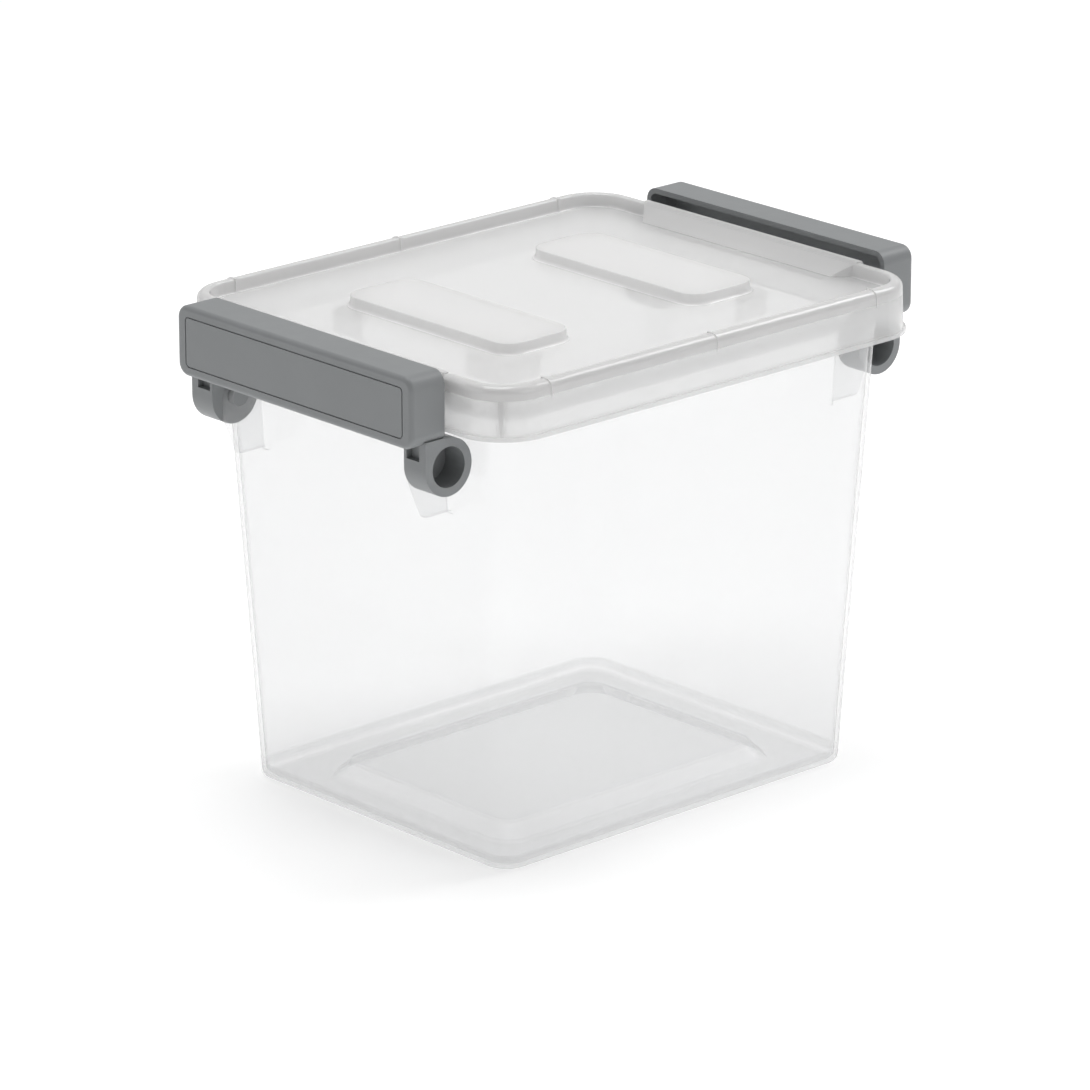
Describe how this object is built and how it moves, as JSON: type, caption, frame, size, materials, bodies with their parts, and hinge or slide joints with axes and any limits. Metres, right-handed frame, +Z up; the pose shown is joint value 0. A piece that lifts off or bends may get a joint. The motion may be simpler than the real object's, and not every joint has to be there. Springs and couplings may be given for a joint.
{
  "type": "stackable storage bin",
  "caption": "Tapered translucent storage bin with a lift-off stacking lid and swinging latch handles that pivot on ears at the ends.",
  "frame": {"origin": "centre of the base, on the surface the bin stands on", "axes": "+Z up; X from handle to handle, the longest side; Y along the handles"},
  "size_m": [0.2782, 0.1996, 0.2145],
  "materials": {
    "tub_plastic": "clear polypropylene with a faint frost",
    "lid_plastic": "milky translucent polypropylene",
    "handle_plastic": "satin moulded grey polypropylene"
  },
  "bodies": {
    "tub": {"tub": "tub_plastic"},
    "lid": {"lid": "lid_plastic"},
    "handle_left": {"handle_left": "handle_plastic"},
    "handle_right": {"handle_right": "handle_plastic"}
  },
  "joints": [
    {"name": "lid_lift", "type": "slide", "parent": "tub", "child": "lid", "axis": [0, 0, 1], "range_m": [0, 0.22]},
    {"name": "handle_left_swing", "type": "hinge", "parent": "tub", "child": "handle_left", "pos_m": [-0.1198, 0, 0.1749], "axis": [0, -1, 0], "range_deg": [0, 105]},
    {"name": "handle_right_swing", "type": "hinge", "parent": "tub", "child": "handle_right", "pos_m": [0.1198, 0, 0.1749], "axis": [0, 1, 0], "range_deg": [0, 105]}
  ]
}
